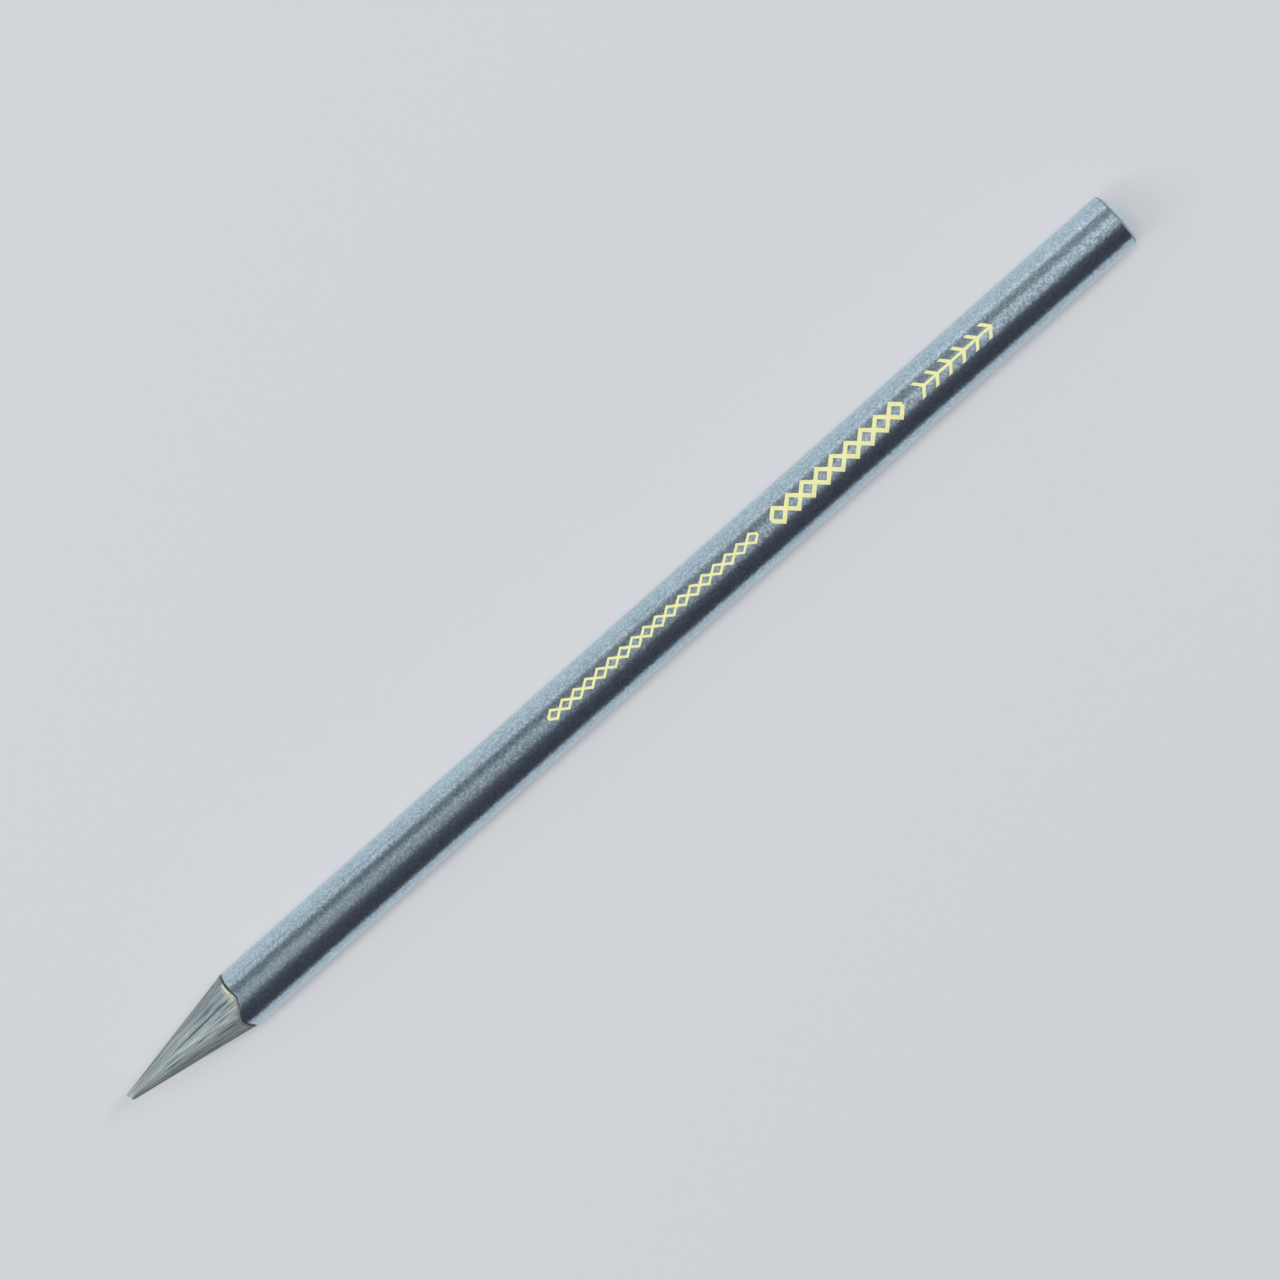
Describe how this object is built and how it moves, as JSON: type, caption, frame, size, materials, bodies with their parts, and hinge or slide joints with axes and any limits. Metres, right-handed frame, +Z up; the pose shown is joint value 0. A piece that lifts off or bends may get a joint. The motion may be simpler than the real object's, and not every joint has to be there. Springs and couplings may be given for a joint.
{
  "type": "woodless graphite pencil",
  "caption": "Round woodless pencil: a solid graphite rod in a metallic lacquer, sharpened to a blunt point at one end and domed at the other, with foil ornament along the top.",
  "frame": {"origin": "on the surface that the pencil lies on, below the middle of its length", "axes": "+X along the pencil from its point to its domed end, +Z up, +Y across"},
  "size_m": [0.15, 0.0072, 0.0071],
  "materials": {
    "graphite": "fired graphite, freshly cut, with a dull metallic sheen",
    "undercoat": "matt pale primer",
    "lacquer": "glossy metallic blue-grey lacquer with fine flake",
    "end_dip": "glossy metallic blue-grey lacquer, a little paler",
    "foil": "hot-stamped pale yellow foil, satin"
  },
  "bodies": {
    "root": {"graphite_core": "graphite", "undercoat": "undercoat", "lacquer_coat": "lacquer", "end_dip": "end_dip", "foil_chain": "foil", "foil_lozenges": "foil", "foil_chevrons": "foil"}
  },
  "joints": []
}
